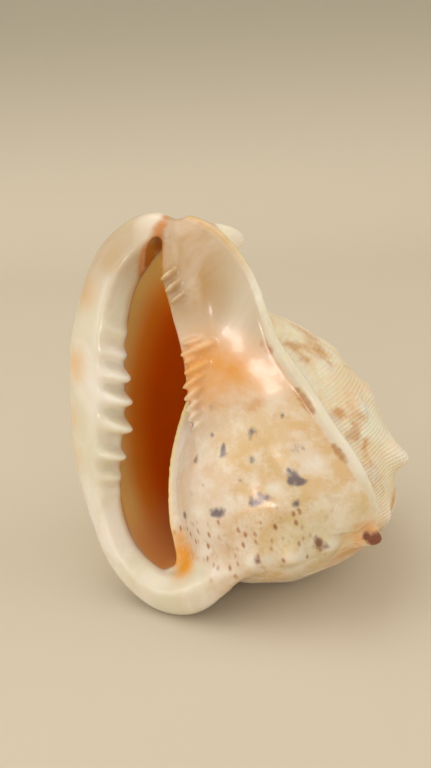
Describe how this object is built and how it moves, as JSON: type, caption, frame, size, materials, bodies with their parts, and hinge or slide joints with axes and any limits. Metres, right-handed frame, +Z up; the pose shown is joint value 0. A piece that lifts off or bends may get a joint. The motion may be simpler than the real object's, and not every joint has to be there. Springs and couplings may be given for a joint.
{
  "type": "helmet shell",
  "caption": "Large one-piece sea snail shell with a flared glossy shield, a thick toothed outer lip, a deep narrow mouth and blunt shoulder knobs, resting on its lip and low spire.",
  "frame": {"origin": "centre of the shell's bounding box, at the level of the surface it rests on", "axes": "+Z up as the shell rests with its canal end at the top; -Y the way the mouth faces; +X from the lip towards the shield"},
  "size_m": [0.175, 0.1518, 0.203],
  "materials": {
    "shell": "glossy porcelain-like callus on the lip and shield, satin finely ridged back"
  },
  "bodies": {
    "root": {"shell": "shell"}
  },
  "joints": []
}
